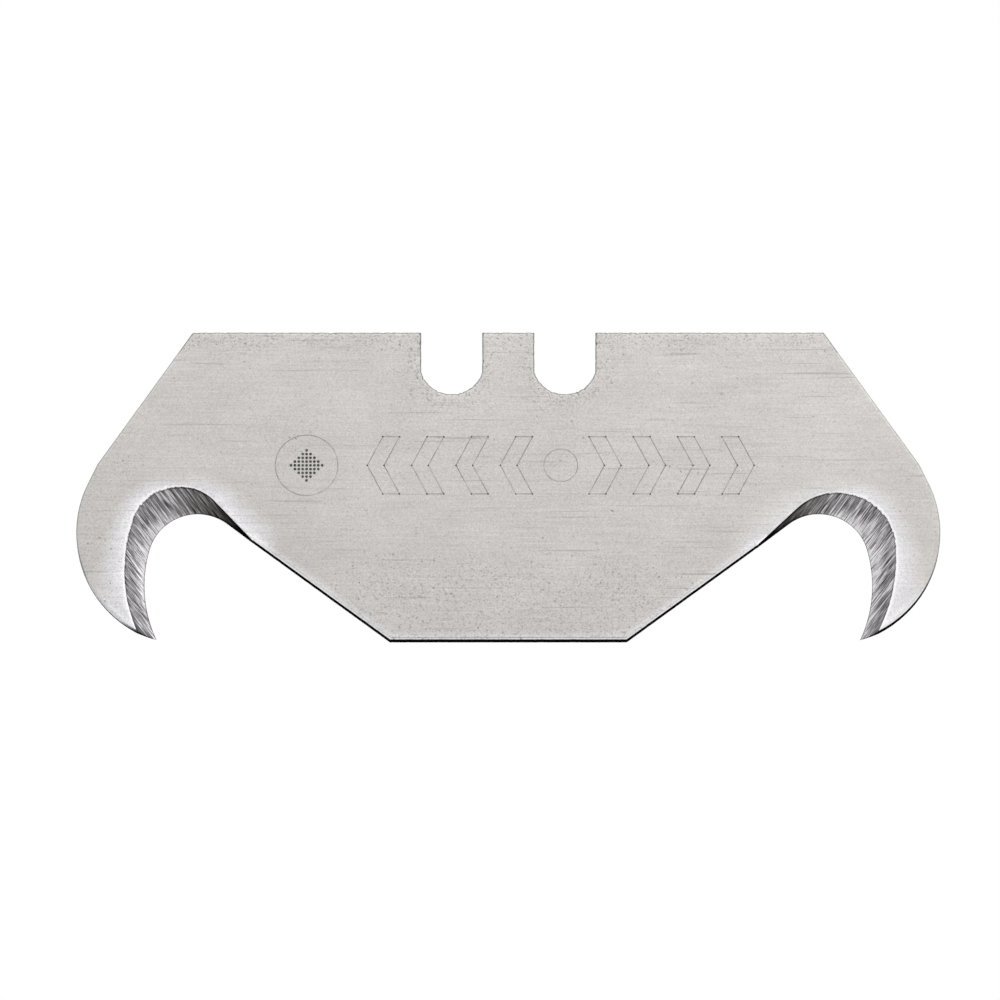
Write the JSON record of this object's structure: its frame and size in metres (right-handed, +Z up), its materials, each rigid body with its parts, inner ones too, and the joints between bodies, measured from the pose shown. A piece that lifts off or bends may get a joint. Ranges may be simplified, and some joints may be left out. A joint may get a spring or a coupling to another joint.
{
  "type": "utility knife hook blade",
  "caption": "Flat steel knife blade with a ground hook at each end and locating notches in its back edge, for pulling cuts in flooring and roofing.",
  "frame": {"origin": "middle of the back edge, halfway between the two notches and halfway through the thickness", "axes": "+X along the blade from hook to hook, +Y through the thickness from the front face to the back face, +Z up to the notched back edge, with the hooks pointing down"},
  "size_m": [0.051, 0.0006, 0.0188],
  "materials": {
    "blade_steel": "cold-rolled satin faces with fine lengthwise lines, ground bevels, dark sheared edges"
  },
  "bodies": {
    "root": {"hook_blade": "blade_steel"}
  },
  "joints": []
}
